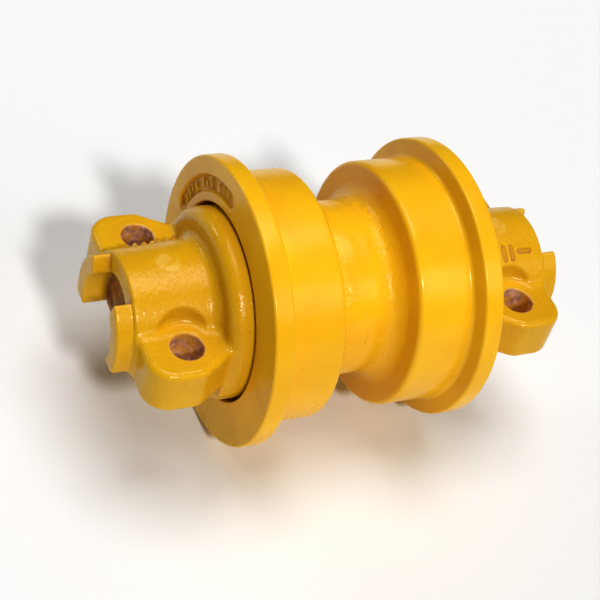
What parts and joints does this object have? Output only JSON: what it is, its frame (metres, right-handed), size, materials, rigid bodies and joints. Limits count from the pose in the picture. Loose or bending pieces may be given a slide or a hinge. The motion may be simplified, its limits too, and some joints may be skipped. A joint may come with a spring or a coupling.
{
  "type": "track roller",
  "caption": "Double-flanged track roller of a small crawler tractor, a yellow welded shell turning on a steel shaft between two cast end collars with bolt lugs.",
  "frame": {"origin": "The middle of the part's box, which is the middle of the roller on its axis.", "axes": "+Y runs along the roller's axis to the end with the filler plug. +Z is the bolt-head side of the lugs, -Z the side that rests on the track frame. +X follows by the right hand, across the track."},
  "size_m": [0.158, 0.2656, 0.158],
  "materials": {
    "shell_paint": "glossy yellow paint over forged steel",
    "collar_paint": "glossy yellow paint over cast steel",
    "weld_paint": "painted weld bead",
    "shaft_steel": "dark, lightly rusted turned steel",
    "plug_steel": "plated plug",
    "pin_steel": "ground pin",
    "bronze": "turned bronze",
    "ground_steel": "lapped seal face",
    "black_rubber": "moulded rubber"
  },
  "bodies": {
    "support": {"shaft": "shaft_steel", "oil_plug": "plug_steel", "collar_near": "collar_paint", "collar_far": "collar_paint", "lock_pin_near": "pin_steel", "lock_pin_far": "pin_steel", "shaft_o_ring_near": "black_rubber", "shaft_o_ring_far": "black_rubber", "seal_ring_fixed_near": "ground_steel", "seal_ring_fixed_far": "ground_steel", "seal_toric_fixed_near": "black_rubber", "seal_toric_fixed_far": "black_rubber"},
    "roller": {"shell_near": "shell_paint", "shell_far": "shell_paint", "weld_seam": "weld_paint", "bushing_near": "bronze", "bushing_far": "bronze", "seal_ring_turning_near": "ground_steel", "seal_ring_turning_far": "ground_steel", "seal_toric_turning_near": "black_rubber", "seal_toric_turning_far": "black_rubber"}
  },
  "joints": [
    {"name": "roller_spin", "type": "hinge", "parent": "support", "child": "roller", "pos_m": [0, 0, 0], "axis": [0, 1, 0], "continuous": true}
  ]
}
